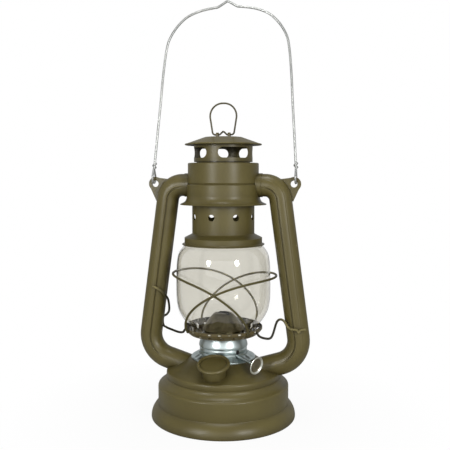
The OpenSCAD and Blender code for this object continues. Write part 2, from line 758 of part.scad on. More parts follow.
// Outside of the globe from its foot to its top: radii and shares of its height
globe_shape = [
    [globe_foot_r, 0], [globe_foot_r + 0.2, 0.043], [globe_foot_r + 2.8, 0.105], [globe_r - 5.3, 0.172],
    [globe_r - 1.9, 0.255], [globe_r - 0.3, 0.356], [globe_r, 0.475], [globe_r - 0.1, 0.62],
    [globe_r - 0.6, 0.739], [globe_r - 2.1, 0.834], [globe_neck_r + 3.2, 0.898], [globe_neck_r + 0.5, 0.936],
    [globe_neck_r, 0.96], [globe_neck_r, 1]
];
globe_path = [for (p = spline(globe_shape, curve_steps)) [p[0], globe_low_h + globe_l * p[1]]];
module globe() {
    color(clear) turned_sheet(globe_path, glass);
}

// A guard wire runs from the gallery's rim over the front, round the far side and back behind
guard_foot_r = gallery_r + guard_d / 2 + seat_gap;
guard_foot_h = gallery_h + gallery_rim_h - 2;
guard_steps = 56;
guard_rise = 3.4;
guard_swell = 5.7;
// Half the step between the two wires where they cross
guard_cross = (guard_d + 3 * seat_gap) / 2;
// A wire's point at a share of its way from its far side, -1 and 1 being its feet
function guard_point(w, cross_side, tip_h, tuck) =
    let (
        azimuth = -90 - (90 + guard_foot_azimuth) * w,
        crossing = pow(max(0, cos(2 * azimuth)), 4),
        bent_in = pow(max(0, 1 - 4 * w * w), 2),
        r = guard_foot_r + (guard_tip_r - guard_foot_r) * (1 - pow(abs(w), guard_swell))
            + cross_side * guard_cross * crossing - tuck * bent_in,
        h = guard_foot_h + (tip_h - guard_foot_h) * (1 - pow(abs(w), guard_rise))
    )
    [r * sin(azimuth), -r * cos(azimuth), h];
function guard_path(cross_side, i) =
    [
        for (k = [0:guard_steps])
            guard_point(2 * k / guard_steps - 1, cross_side, gallery_h + guard_l[i], guard_tuck[i])
    ];
module guard_wire_left() {
    color(olive) swept_wire(guard_path(-1, 0), guard_d, [1, 0, 0]);
}
module guard_wire_right() {
    color(olive) mirror([1, 0, 0]) swept_wire(guard_path(1, 1), guard_d, [1, 0, 0]);
}
// Routes of the two lifting wires from the gallery's rim to the side tubes, as heights over the gallery
left_lift_route = [
    [-30.87, -17.23, 5.05], [-32.6, -16.9, 2.85], [-37.5, -14.2, 2.15], [-45, -8.2, 2.45],
    [-51.5, -2, 3.25], [-54.6, 4.6, 4.65], [-57.4, 8.6, 7.45], [-56.6, 9.6, 10.85], [-53, 6.8, 15.65],
    [-50, 0.5, 21.65], [-49.6, -4.5, 28.65], [-52, -9, 34.65], [-56.5, -11.6, 39.15], [-61, -11.8, 41.15]
];
right_lift_route = [
    [32.5, -14.3, 4.65], [34.2, -14, 2.05], [37.5, -13.2, 0.25], [43, -12.6, -0.15], [45.8, -12.3, 3.15],
    [49.2, -12, 14.15], [52.4, -11.9, 16.75], [55.6, -11.8, 15.25], [58.2, -11.8, 11.05],
    [61.2, -11.8, 8.65], [64.6, -11.8, 8.35], [66.6, -11.8, 7.95], [68, -12, 5.95],
    [69.4, -11.8, 7.95], [71.4, -11.6, 8.55], [73.4, -10.9, 8.65]
];
route_steps = 3;
module lift_wire(route, first_normal) {
    translate([0, 0, gallery_h]) swept_wire(spline(route, route_steps), guard_d, first_normal);
}
module left_lift_wire() {
    color(olive) lift_wire(left_lift_route, [0, 0, 1]);
}
module right_lift_wire() {
    color(olive) lift_wire(right_lift_route, [0, 1, 0]);
}

// The right-hand side tube
module side_tube() {
    color(olive) difference() {
        upright() bent_rod(tube_path, tube_bends, tube_d, tube_swell);
        upright() bent_rod(tube_path, tube_bends, tube_d - 2 * sheet, tube_swell);
        barrel_block(seat_gap);
        under_dome(-lap_step - tube_reach);
    }
}
module left_tube() {
    mirror([1, 0, 0]) side_tube();
}
module right_tube() {
    side_tube();
}
socket_t = 0.6;
module tube_socket() {
    color(olive) difference() {
        translate([0, 0, tube_top_h]) rotate([0, 90, 0]) difference() {
            cylinder(h = barrel_r + socket_l, r = tube_r + seat_gap + socket_t);
            translate([0, 0, -cut]) cylinder(h = barrel_r + socket_l + 2 * cut, r = tube_r + seat_gap);
        }
        barrel_block(seat_gap);
    }
}
module left_socket() {
    mirror([1, 0, 0]) tube_socket();
}
module right_socket() {
    tube_socket();
}
// The ear is a flat plate on the tube's elbow, with the bail's hole in its round end
ear_inset = 0.4;
ear_web = 2;
ear_side = 20;
ear_foot = [1, 0.5];
module ear() {
    color(olive) difference() {
        translate([0, ear_t / 2, 0]) upright() difference() {
            union() {
                translate([ear_x, ear_h]) cylinder(h = ear_t, r = ear_r);
                linear_extrude(ear_t) polygon([
                    [tube_top_x, ear_h + ear_r - ear_web], [ear_x, ear_h + ear_r - ear_inset],
                    [ear_x, ear_h] + (ear_r - ear_inset) * [cos(ear_side), -sin(ear_side)],
                    [tube_top_x + elbow_r - ear_foot[0], tube_top_h - elbow_r - ear_foot[1]],
                    [tube_top_x, tube_top_h - elbow_r / 2]
                ]);
            }
            translate([ear_x, ear_h, -cut]) cylinder(h = ear_t + 2 * cut, r = ear_hole_r);
        }
        tube_rods(seat_gap);
    }
}
module left_ear() {
    mirror([1, 0, 0]) ear();
}
module right_ear() {
    ear();
}
barrel_round = 1;
groove_depth = 0.5;
groove_w = 2;
groove_h = ear_h;
flare_h = 7;
// Shares of the flare's width and height at two points along it
flare_shape = [[0.1, 0.6], [0.37, 0.26]];
// How much wider the barrel is under its groove
barrel_step = 0.9;
barrel_low_r = barrel_r + barrel_step;
barrel_side = concat(
    arc([barrel_r - barrel_round, barrel_top_h - barrel_round], barrel_round, 90, 0),
    [
        [barrel_r, groove_h + groove_w / 2], [barrel_r - groove_depth, groove_h],
        [barrel_low_r, groove_h - groove_w / 2]
    ],
    spline(concat(
        [[barrel_low_r, barrel_low_h + flare_h]],
        [for (f = flare_shape)
            [barrel_low_r + f[0] * (barrel_flare_r - barrel_low_r), barrel_low_h + f[1] * flare_h]],
        [[barrel_flare_r, barrel_low_h]]
    ), curve_steps)
);
module barrel() {
    color(olive) difference() {
        turned_sheet(concat([[flue_r + run_gap, barrel_top_h]], barrel_side), -sheet);
        translate([-2 * barrel_r, 0, tube_top_h])
            rotate([0, 90, 0])
                cylinder(h = 4 * barrel_r, r = tube_r - 2 * sheet);
    }
}
// Everything inside the barrel's outside, grown by a clearance
module barrel_block(gap) {
    rotate_extrude()
        polygon(concat(
            [[0, barrel_low_h], [0, barrel_top_h]],
            [for (p = barrel_side) if (p[0] >= barrel_r) [p[0] + gap, p[1]]]
        ));
}

// The chimney's spring, one coil between its seat and the barrel's top
spring_path = [
    for (i = [0:curl_rings * spring_turns])
        let (a = 360 * i / curl_rings, h = spring_high_h - spring_low_h - spring_d)
            concat(
                spring_r * [cos(a), sin(a)],
                [spring_low_h + spring_d / 2 + h * i / (curl_rings * spring_turns)]
            )
];
spring_self_gap = min([
    for (i = [0:len(spring_path) - 1], j = [i + curl_rings / 2:1:len(spring_path) - 1])
        norm(spring_path[i] - spring_path[j])
]) - spring_d;
echo(chimney_spring_least_gap = spring_self_gap);
module chimney_spring() {
    color(zinc) swept_wire(spring_path, spring_d, [1, 0, 0], 6);
}
module spring_seat() {
    color(zinc) translate([0, 0, flue_low_h + sheet + seat_gap]) difference() {
        cylinder(h = seat_ring_t, r = seat_ring_r);
        translate([0, 0, -cut]) cylinder(h = seat_ring_t + 2 * cut, r = flue_r + seat_gap);
    }
}
// Turns a shape to a direction measured from the front, drawn along +X
module towards(azimuth) {
    rotate([0, 0, azimuth - 90]) children();
}
// The rounding of the collar's lip and of the fold above its cone
lip_ease = [[0.7, 0.3], [0, 1.1]];
fold_ease = [[0.6, -0.3], [0, 0.4]];
module chimney() {
    color(olive) difference() {
        turned_sheet(concat(
            [[collar_lip_r, collar_low_h]],
            [for (e = lip_ease) [collar_r, collar_low_h] + e],
            [[collar_r, collar_top_h]],
            [for (e = fold_ease) [sleeve_r, collar_cone_h] + e],
            [[sleeve_r, sleeve_top_h], [flue_r - sheet, sleeve_top_h]]
        ));
        for (k = [0:sleeve_holes - 1])
            towards(chimney_turn + 360 * k / sleeve_holes)
                translate([flue_r, 0, sleeve_hole_h])
                    rotate([0, 90, 0])
                        cylinder(h = sleeve_r, d = sleeve_hole_d);
    }
}
module flue_tube() {
    color(olive) turned_sheet([
        [sleeve_r - seat_gap, flue_low_h + sheet], [flue_r, flue_low_h + sheet],
        [flue_r, vent_low_h - seat_gap]
    ]);
}
// Height of the hood's underside at a radius
function under_hood(r) =
    hood_top_h - (r - hood_top_r) * hood_fall - sheet * sqrt(1 + hood_fall * hood_fall);
vent_posts = 4;
module vent_ring() {
    color(olive) difference() {
        turned_sheet([
            [flue_r - sheet, vent_low_h], [vent_r, vent_low_h], [vent_r, under_hood(vent_r) - seat_gap]
        ]);
        for (k = [0:vent_posts - 1])
            towards(chimney_turn + 360 * (k + 0.5) / vent_posts) translate([0, 0, vent_slot_h]) {
                rotate([0, 0, -vent_slot_span / 2])
                    rotate_extrude(angle = vent_slot_span)
                        translate([flue_r, -vent_slot_w / 2])
                            square([flange, vent_slot_w]);
                for (side = [-1, 1])
                    rotate([0, 90, side * vent_slot_span / 2]) cylinder(h = 2 * vent_r, d = vent_slot_w);
            }
    }
}
brim_d = 1.2;
module hood() {
    color(olive) union() {
        turned_sheet([[hood_r, hood_low_h], [hood_top_r, hood_top_h], [0, hood_top_h]]);
        rotate_extrude() translate([hood_r - sheet / 2, hood_low_h - sheet / 2]) circle(d = brim_d);
    }
}
// The staple is a strap on the hood with a knuckle round each straight part of the ring
staple_t = 1.1;
staple_w = 2.2;
staple_x = 5.2;
strap_t = 0.5;
staple_hole_r = ring_d / 2 + pin_gap;
staple_r = staple_hole_r + staple_t;
module ring_staple() {
    color(olive) union() {
        for (side = [-1, 1])
            translate([side * staple_x - staple_w / 2, 0, 0]) rotate([90, 0, 90]) difference() {
                linear_extrude(staple_w) union() {
                    translate([-staple_r, hood_top_h + seat_gap])
                        square([2 * staple_r, ring_low_h - hood_top_h - seat_gap]);
                    translate([0, ring_low_h]) circle(r = staple_r);
                }
                translate([0, ring_low_h, -cut]) cylinder(h = staple_w + 2 * cut, r = staple_hole_r);
            }
        translate([-staple_x, -staple_r / 2, hood_top_h + seat_gap]) cube([2 * staple_x, staple_r, strap_t]);
    }
}
// The ring's wire rises to a small arch between the knuckles, where its two ends meet
ring_foot_r = 2.6;
ring_arch_x = 3.3;
ring_arch_h = 3;
ring_arch_r = 1.2;
ring_half = [
    [seat_gap, ring_low_h + ring_arch_h], [ring_arch_x, ring_low_h], [ring_foot_x, ring_low_h],
    [ring_head_x, ring_top_h - ring_d / 2]
];
ring_bends = [0, ring_arch_r, ring_foot_r, ring_head_r];
last = len(ring_half) - 1;
module lift_ring() {
    color(olive) upright() bent_rod(
        concat(ring_half, [for (i = [last:-1:0]) [-ring_half[i][0], ring_half[i][1]]]),
        concat(ring_bends, [for (i = [last:-1:0]) ring_bends[i]]), ring_d
    );
}
// The bail's end loop goes round the ear's strip, with its round part about the pivot
loop_turn = acos(bail_loop_r / bail_neck);
knot_swell = 1.3;
module bail_loop() {
    rotate([90, 0, 90]) {
        rotate([0, 0, 90 + loop_turn])
            rotate_extrude(angle = 360 - 2 * loop_turn)
                translate([bail_loop_r, 0])
                    circle(d = bail_d + 2 * bend_swell);
        for (side = [-1, 1])
            rotate([0, 0, side * (90 - loop_turn)])
                translate([side * bail_loop_r, -bend_lap, 0])
                    rotate([-90, 0, 0])
                        cylinder(h = bail_neck * sin(loop_turn) + bend_lap, d = bail_d);
        translate([0, bail_neck, 0]) sphere(d = bail_d * knot_swell);
    }
}
bail_peak_x = 9;
bail_peak_rise = 4.9;
bail_kink_r = 3;
bail_half = [
    [bail_x, bail_neck], [bail_head_x, bail_reach - bail_drop], [bail_peak_x, bail_reach - bail_peak_rise]
];
module bail() {
    color(zinc) translate([0, 0, bail_pivot_h]) rotate([-bail_lean, 0, 0]) {
        upright() bent_rod(
            concat(
                bail_half, [[0, bail_reach]],
                [for (i = [len(bail_half) - 1:-1:0]) [-bail_half[i][0], bail_half[i][1]]]
            ),
            [0, bail_head_r, bail_kink_r, bail_kink_r, bail_kink_r, bail_head_r, 0], bail_d
        );
        for (side = [-1, 1])
            translate([side * bail_x, 0, 0]) bail_loop();
    }
}

tank_shell();
tank_bottom();
fuel_deck();
tank_dome();
filler_neck();
filler_cap();
cap_seal();
burner_plate();
burner_skirt();
burner_body();
burner_cone();
wick_tube();
wick();
wick_shaft();
wick_sprockets();
wick_knob();
gallery();
globe();
guard_wire_left();
guard_wire_right();
left_lift_wire();
right_lift_wire();
left_tube();
right_tube();
left_socket();
right_socket();
left_ear();
right_ear();
barrel();
chimney_spring();
spring_seat();
chimney();
flue_tube();
vent_ring();
hood();
ring_staple();
lift_ring();
bail();
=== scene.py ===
"""Looks of the hurricane lantern: finishes for the CAD pieces, smoother glass, wire and sheet."""

import math

import bmesh
import bpy
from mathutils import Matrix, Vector


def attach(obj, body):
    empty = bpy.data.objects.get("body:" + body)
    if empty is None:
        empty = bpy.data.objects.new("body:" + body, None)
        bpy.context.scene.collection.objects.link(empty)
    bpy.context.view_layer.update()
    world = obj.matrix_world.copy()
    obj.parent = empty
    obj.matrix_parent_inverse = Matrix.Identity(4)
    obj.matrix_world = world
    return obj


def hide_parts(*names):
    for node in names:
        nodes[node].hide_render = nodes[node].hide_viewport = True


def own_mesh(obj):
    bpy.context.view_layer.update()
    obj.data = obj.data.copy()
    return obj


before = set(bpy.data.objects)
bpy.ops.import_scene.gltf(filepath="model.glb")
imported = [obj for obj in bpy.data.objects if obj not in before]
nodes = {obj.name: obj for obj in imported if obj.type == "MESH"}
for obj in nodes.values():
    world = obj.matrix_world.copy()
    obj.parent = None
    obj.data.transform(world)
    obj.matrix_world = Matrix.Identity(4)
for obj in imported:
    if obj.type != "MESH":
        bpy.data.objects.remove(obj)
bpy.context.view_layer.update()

MM = 0.001

# Sizes that the CAD part also uses, in millimetres
SHEET = 0.6
GUARD_D = 1.7
TUBE_D = 19.4
TUBE_TOP = (48.8, 204.6)
TUBE_LOW = (69.2, 54.3)
TUBE_FALL = 17.3
ELBOW_R = 13.5
LOW_BEND_R = 22.0
TUBE_START_X = 30.5
TUBE_END_X = 27.0
GALLERY_R = 34.6
GALLERY_H = 73.55
GUARD_FOOT_H = 78.15
GUARD_TIP_R = 46.0
WICK_TOP_H = 91.4


# Shapes


def catmull_rom(points, steps):
    """Points on a smooth curve through the given points."""
    pts = [Vector(p) for p in points]
    out = []
    for i in range(len(pts) - 1):
        p0, p1, p2 = pts[max(i - 1, 0)], pts[i], pts[i + 1]
        p3 = pts[min(i + 2, len(pts) - 1)]
        for s in range(steps):
            t = s / steps
            out.append(
                0.5
                * (
                    2 * p1
                    + (p2 - p0) * t
                    + (2 * p0 - 5 * p1 + 4 * p2 - p3) * t**2
                    + (3 * p1 - p0 - 3 * p2 + p3) * t**3
                )
            )
    out.append(pts[-1])
    return out


def mesh_object(name, verts, faces, material, body):
    """A smooth mesh piece, given in millimetres, that rides on a CAD body."""
    mesh = bpy.data.meshes.new(name)
    mesh.from_pydata([Vector(v) * MM for v in verts], [], faces)
    mesh.update()
    bm = bmesh.new()
    bm.from_mesh(mesh)
    bmesh.ops.recalc_face_normals(bm, faces=bm.faces)
    bm.to_mesh(mesh)
    bm.free()
    mesh.polygons.foreach_set("use_smooth", [True] * len(mesh.polygons))
    obj = bpy.data.objects.new(name, mesh)
    bpy.context.scene.collection.objects.link(obj)
    mesh.materials.append(material)
    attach(obj, body)
    return obj


def lathe(name, profile, material, body, segments=160):
    """A closed ring profile of (radius, height) turned about the lantern's axis."""
    count = len(profile)
    verts, faces = [], []
    for s in range(segments):
        a = 2 * math.pi * s / segments
        verts += [(r * math.cos(a), r * math.sin(a), h) for r, h in profile]
    for s in range(segments):
        for i in range(count):
            j, n = (i + 1) % count, (s + 1) % segments
            faces.append((s * count + i, n * count + i, n * count + j, s * count + j))
    return mesh_object(name, verts, faces, material, body)


def path_frames(path):
    """Tangent and a twist-free normal at each point of a path."""
    tangents = []
    for i in range(len(path)):
        a, b = path[max(i - 1, 0)], path[min(i + 1, len(path) - 1)]
        tangents.append((b - a).normalized())
    side = Vector((0, 1, 0)) if abs(tangents[0].y) < 0.9 else Vector((1, 0, 0))
    normals = []
    for t in tangents:
        side = (side - side.dot(t) * t).normalized()
        normals.append(side.copy())
    return tangents, normals


# Degrees over a round end, for each of its rings
CAP_ANGLES = (30, 60, 80)


def sweep(name, path, outlines, material, body, round_ends=True):
    """Outlines of (angle, radius) pairs, one at each point of a path, with round or flat ends."""
    path = [Vector(p) for p in path]
    tangents, normals = path_frames(path)
    rings = list(zip(path, tangents, normals, outlines))
    if round_ends:
        reach = max(r for _, r in outlines[0])
        caps = [(math.sin(math.radians(a)), math.cos(math.radians(a))) for a in CAP_ANGLES]

        def cap(ring, outward, s, c):
            place, tangent, normal, outline = ring
            smaller = [(a, r * c) for a, r in outline]
            return place + outward * tangent * reach * s, tangent, normal, smaller

        rings = (
            [cap(rings[0], -1, s, c) for s, c in reversed(caps)]
            + rings
            + [cap(rings[-1], 1, s, c) for s, c in caps]
        )
    verts, faces = [], []
    count = len(outlines[0])
    for p, t, n, outline in rings:
        b = t.cross(n)
        verts += [p + r * (math.cos(a) * n + math.sin(a) * b) for a, r in outline]
    for i in range(len(rings) - 1):
        for k in range(count):
            m = (k + 1) % count
            faces.append((i * count + k, i * count + m, (i + 1) * count + m, (i + 1) * count + k))
    last_ring = (len(rings) - 1) * count
    faces.append(tuple(reversed(range(count))))
    faces.append(tuple(range(last_ring, last_ring + count)))
    return mesh_object(name, verts, faces, material, body)


def round_wire(name, path, radius, material, body, sides=16):
    """A wire of one thickness with round ends."""
    circle = [(2 * math.pi * k / sides, radius) for k in range(sides)]
    return sweep(name, path, [circle] * len(path), material, body)


# Materials


# Scale and detail of the noise behind each finish
DRIFT = (28.0, 3.0)
FLECK = (900.0, 2.0)
PEEL = (1500.0, 2.0)
POLISH = (140.0, 3.0)
# Reach of the painted shade in nooks of the paint, in millimetres, and its tint
NOOK_SHADE_REACH = 12.0
NOOK_SHADE_TINT = (0.3, 0.28, 0.26, 1.0)
# Half width and half height of an eyelet in the gallery, a painted glint, and its turn in shares of
# their spacing
EYELET_HALF_W, EYELET_HALF_H, EYELET_TURN = 1.2, 0.6, 0.3
# How much wider than an eyelet the painted shade round it is
EYELET_SHADE_REACH = 1.7


class Nodes:
    """Short names for building a Principled material with generated detail."""

    def __init__(self, name):
        self.material = bpy.data.materials.new(name)
        self.material.use_nodes = True
        self.tree = self.material.node_tree
        self.shader = self.tree.nodes["Principled BSDF"]
        self.coords = self.add("ShaderNodeTexCoord").outputs["Object"]

    def add(self, kind, **settings):
        node = self.tree.nodes.new(kind)
        for key, value in settings.items():
            setattr(node, key, value)
        return node

    def link(self, a, b):
        self.tree.links.new(a, b)

    def set(self, **values):
        for key, value in values.items():
            self.shader.inputs[key.replace("_", " ")].default_value = value

    def noise(self, scale, detail=4.0, stretch=(1, 1, 1), distortion=0.0):
        mapping = self.add("ShaderNodeMapping")
        mapping.inputs["Scale"].default_value = stretch
        self.link(self.coords, mapping.inputs["Vector"])
        tex = self.add("ShaderNodeTexNoise")
        tex.inputs["Scale"].default_value = scale
        tex.inputs["Detail"].default_value = detail
        tex.inputs["Distortion"].default_value = distortion
        self.link(mapping.outputs["Vector"], tex.inputs["Vector"])
        return tex.outputs["Fac"]

    def ramp(self, value, stops):
        node = self.add("ShaderNodeValToRGB")
        elements = node.color_ramp.elements
        while len(elements) < len(stops):
            elements.new(0.5)
        for element, (place, colour) in zip(elements, stops):
            element.position = place
            element.color = (*colour, 1.0)
        self.link(value, node.inputs["Fac"])
        return node.outputs["Color"]

    def spread(self, value, low, high):
        node = self.add("ShaderNodeMapRange")
        node.inputs["To Min"].default_value = low
        node.inputs["To Max"].default_value = high
        self.link(value, node.inputs["Value"])
        return node.outputs["Result"]

    def mix(self, factor, a, b, blend="MIX"):
        node = self.add("ShaderNodeMix", data_type="RGBA", blend_type=blend)
        for socket, value in ((node.inputs[0], factor), (node.inputs[6], a), (node.inputs[7], b)):
            if isinstance(value, bpy.types.NodeSocket):
                self.link(value, socket)
            else:
                socket.default_value = value
        return node.outputs[2]

    def bump(self, height, strength, distance):
        node = self.add("ShaderNodeBump")
        node.inputs["Strength"].default_value = strength
        node.inputs["Distance"].default_value = distance
        self.link(height, node.inputs["Height"])
        self.link(node.outputs["Normal"], self.shader.inputs["Normal"])


def srgb(r, g, b):
    """Linear colour from 0 to 255 sRGB values."""
    return tuple(
        c / 12.92 if c <= 0.04045 else ((c + 0.055) / 1.055) ** 2.4
        for c in (v / 255 for v in (r, g, b))
    )


def olive_paint(name, dark, light, roughness):
    """Satin powder coat: slow drift of colour, painted shade that darkens the nooks, fine peel in
    the surface.
    """
    m = Nodes(name)
    drift = m.noise(*DRIFT)
    fleck = m.noise(*FLECK)
    base = m.ramp(drift, [(0.3, dark), (0.7, light)])
    flecked = m.mix(m.spread(fleck, 0.0, 0.16), base, (*light, 1.0), "MULTIPLY")
    # Ambient occlusion darkens the colour in nooks, creases and under parts: painted shade
    nook = m.add("ShaderNodeAmbientOcclusion", samples=8)
    nook.inputs["Distance"].default_value = NOOK_SHADE_REACH * MM
    painted_nook_shade = m.mix(1.0, flecked, NOOK_SHADE_TINT, "MULTIPLY")
    coat = m.mix(m.spread(nook.outputs["AO"], 0.0, 1.0), painted_nook_shade, flecked)
    m.link(coat, m.shader.inputs["Base Color"])
    polish = m.spread(m.noise(*POLISH), roughness - 0.05, roughness + 0.07)
    m.link(polish, m.shader.inputs["Roughness"])
    m.bump(m.noise(*PEEL), 0.08, 0.0002)
    m.set(Specular_IOR_Level=0.4)
    return m.material


def painted_light_wire(name, axis, dark_at, light_at, dark, light):
    """Painted wire whose colour goes from dark to light with Y, or with X on both sides alike, as
    painted shade and painted light.
    """
    m = Nodes(name)
    drift = m.noise(*DRIFT)
    split = m.add("ShaderNodeSeparateXYZ")
    m.link(m.coords, split.inputs["Vector"])
    place = split.outputs[axis]
    if axis == "X":
        away = m.add("ShaderNodeMath", operation="ABSOLUTE")
        m.link(place, away.inputs[0])
        place = away.outputs[0]
    # The blend from the dark colour to the light one is painted shade at one end and painted light
    # at the other
    painted_shade_to_light = m.add("ShaderNodeMapRange")
    painted_shade_to_light.inputs["From Min"].default_value = dark_at * MM
    painted_shade_to_light.inputs["From Max"].default_value = light_at * MM
    m.link(place, painted_shade_to_light.inputs["Value"])
    colours = []
    for colour in (dark, light):
        lit = tuple(1.35 * v for v in colour)
        colours.append(m.ramp(drift, [(0.3, colour), (0.7, lit)]))
    m.link(m.mix(painted_shade_to_light.outputs["Result"], *colours), m.shader.inputs["Base Color"])
    m.set(Roughness=0.42, Specular_IOR_Level=0.2)
    return m.material


def eyelet_glint_paint(name, dark, light, holes, row_h):
    """Olive paint with a row of small eyelets round the piece's rim, each a painted glint in a ring
    of painted shade.
    """
    m = Nodes(name)
    split = m.add("ShaderNodeSeparateXYZ")
    m.link(m.coords, split.inputs["Vector"])

    def math_node(operation, a, b=None):
        node = m.add("ShaderNodeMath", operation=operation)
        for socket, value in zip(node.inputs, (a, b)):
            if isinstance(value, bpy.types.NodeSocket):
                m.link(value, socket)
            elif value is not None:
                socket.default_value = value
        return node.outputs[0]

    turn = math_node("ARCTAN2", split.outputs["Y"], split.outputs["X"])
    place = math_node("MULTIPLY", turn, holes / math.tau)
    cell = math_node("FRACT", math_node("ADD", place, holes + EYELET_TURN))
    spacing = math.tau * GALLERY_R / holes
    across = math_node("MULTIPLY", math_node("SUBTRACT", cell, 0.5), spacing / EYELET_HALF_W)
    over = math_node("SUBTRACT", split.outputs["Z"], row_h * MM)
    along = math_node("MULTIPLY", over, 1 / (EYELET_HALF_H * MM))
    squares = (math_node("POWER", across, 2.0), math_node("POWER", along, 2.0))
    reach = math_node("SQRT", math_node("ADD", *squares))
    paint = m.ramp(m.noise(*DRIFT), [(0.3, dark), (0.7, light)])
    # A dark ring round each eyelet: painted shade
    painted_shade_ring = m.mix(math_node("LESS_THAN", reach, EYELET_SHADE_REACH), paint, (*srgb(56, 50, 30), 1.0))
    # Each eyelet itself is near white in patches: a painted glint
    painted_glint = m.ramp(m.noise(95.0, 1.0), [(0.42, srgb(112, 102, 68)), (0.62, srgb(240, 237, 224))])
    m.link(m.mix(math_node("LESS_THAN", reach, 1.0), painted_shade_ring, painted_glint), m.shader.inputs["Base Color"])
    m.link(m.spread(m.noise(*POLISH), 0.25, 0.37), m.shader.inputs["Roughness"])
    m.set(Specular_IOR_Level=0.3)
    return m.material


def bright_metal(name, dark, light, roughness, stretch, bump, metallic=1.0):
    """Plated metal: drawn streaks in the roughness, faint blotches in the colour."""
    m = Nodes(name)
    streak = m.noise(120.0, 4.0, stretch)
    blotch = m.noise(60.0, 4.0, distortion=0.4)
    m.link(m.ramp(blotch, [(0.3, dark), (0.7, light)]), m.shader.inputs["Base Color"])
    m.link(m.spread(streak, roughness * 0.7, roughness * 1.4), m.shader.inputs["Roughness"])
    m.bump(streak, bump, 0.0002)
    m.set(Metallic=metallic)
    return m.material


def clear_glass():
    """Pressed soda glass: a slight tint and a faint waviness."""
    m = Nodes("globe_glass")
    tint = m.ramp(m.noise(12.0, 2.0), [(0.35, (0.795, 0.782, 0.733)), (0.65, (0.82, 0.806, 0.758))])
    m.link(tint, m.shader.inputs["Base Color"])
    m.link(m.spread(m.noise(40.0, 2.0), 0.0, 0.03), m.shader.inputs["Roughness"])
    m.bump(m.noise(22.0, 1.0), 0.06, 0.001)
    m.set(Transmission_Weight=1.0, IOR=1.5)
    return m.material


def dished_metal(name, dark, light, middle, axis, rim_r, dish):
    """Metal of one colour round a dish of another, by the distance from the piece's axis."""
    m = Nodes(name)
    offset = m.add("ShaderNodeVectorMath", operation="SUBTRACT")
    m.link(m.coords, offset.inputs[0])
    offset.inputs[1].default_value = [v * MM for v in middle]
    cross = m.add("ShaderNodeVectorMath", operation="CROSS_PRODUCT")
    m.link(offset.outputs[0], cross.inputs[0])
    cross.inputs[1].default_value = axis
    length = m.add("ShaderNodeVectorMath", operation="LENGTH")
    m.link(cross.outputs[0], length.inputs[0])
    rim = m.add("ShaderNodeMapRange")
    rim.inputs["From Min"].default_value = (rim_r - 0.4) * MM
    rim.inputs["From Max"].default_value = (rim_r + 0.2) * MM
    m.link(length.outputs["Value"], rim.inputs["Value"])
    grain = m.noise(160.0, 3.0)
    inside = m.ramp(grain, [(0.3, dish[0]), (0.7, dish[1])])
    outside = m.ramp(grain, [(0.3, dark), (0.7, light)])
    m.link(m.mix(rim.outputs["Result"], inside, outside), m.shader.inputs["Base Color"])
    m.link(m.spread(rim.outputs["Result"], 0.5, 0.3), m.shader.inputs["Roughness"])
    m.set(Metallic=0.8)
    return m.material


def woven_cotton(top_h):
    """Flat woven wick, burnt from 4 mm under its top edge."""
    m = Nodes("wick_cotton")
    weave = m.add("ShaderNodeTexWave", wave_type="BANDS", bands_direction="Z")
    weave.inputs["Scale"].default_value = 400.0
    weave.inputs["Distortion"].default_value = 1.2
    m.link(m.coords, weave.inputs["Vector"])
    split = m.add("ShaderNodeSeparateXYZ")
    m.link(m.coords, split.inputs["Vector"])
    burnt = m.add("ShaderNodeMapRange")
    burnt.inputs["From Min"].default_value = (top_h - 4.0) * MM
    burnt.inputs["From Max"].default_value = (top_h - 1.0) * MM
    m.link(split.outputs["Z"], burnt.inputs["Value"])
    cloth = m.ramp(weave.outputs["Fac"], [(0.2, srgb(176, 166, 140)), (0.8, srgb(226, 219, 198))])
    burnt_cloth = m.mix(burnt.outputs["Result"], cloth, (0.012, 0.01, 0.009, 1.0))
    m.link(burnt_cloth, m.shader.inputs["Base Color"])
    m.bump(weave.outputs["Fac"], 0.5, 0.0003)
    m.set(Roughness=0.95)
    return m.material


def cork():
    """Pressed cork with a coarse grain."""
    m = Nodes("seal_cork")
    grain = m.noise(500.0, 5.0)
    colour = m.ramp(grain, [(0.35, srgb(96, 66, 40)), (0.65, srgb(166, 124, 82))])
    m.link(colour, m.shader.inputs["Base Color"])
    m.bump(grain, 0.4, 0.0003)
    m.set(Roughness=0.9)
    return m.material


# The knob's middle and the way its shaft points
KNOB_MIDDLE, KNOB_AXIS = (-2.042, -3.145, 60.698), (0.8259, -0.5364, -0.1736)
KNOB_RIM_R, CONE_SLOT_R = 6.1, 5.2
EYELETS, EYELET_ROW_H = 25, 78.9

OLIVE = olive_paint("olive_paint", srgb(89, 80, 42), srgb(100, 91, 50), 0.36)
OLIVE_GALLERY = eyelet_glint_paint(
    "olive_gallery", srgb(84, 74, 46), srgb(100, 89, 57), EYELETS, EYELET_ROW_H
)
OLIVE_WIRE = olive_paint("olive_wire", srgb(74, 68, 42), srgb(90, 83, 52), 0.42)
# Guard wires are painted lighter towards the back, behind the glass: painted light
GUARD_WIRE = painted_light_wire("guard_wire", "Y", 0.0, 25.0, srgb(76, 70, 43), srgb(150, 141, 100))
# Lifting wires are painted dark in the middle and olive out by the tubes: painted shade
LIFT_WIRE = painted_light_wire("lift_wire", "X", 50.0, 57.0, srgb(40, 37, 24), srgb(104, 96, 62))
# The colour of the dark patch over the wick shaft: painted shade
SLOT_SHADE = olive_paint("slot_shadow", srgb(14, 13, 11), srgb(24, 22, 18), 0.7)
TIN = bright_metal("tinplate", srgb(186, 198, 198), srgb(208, 219, 218), 0.33, (1, 1, 14), 0.05)
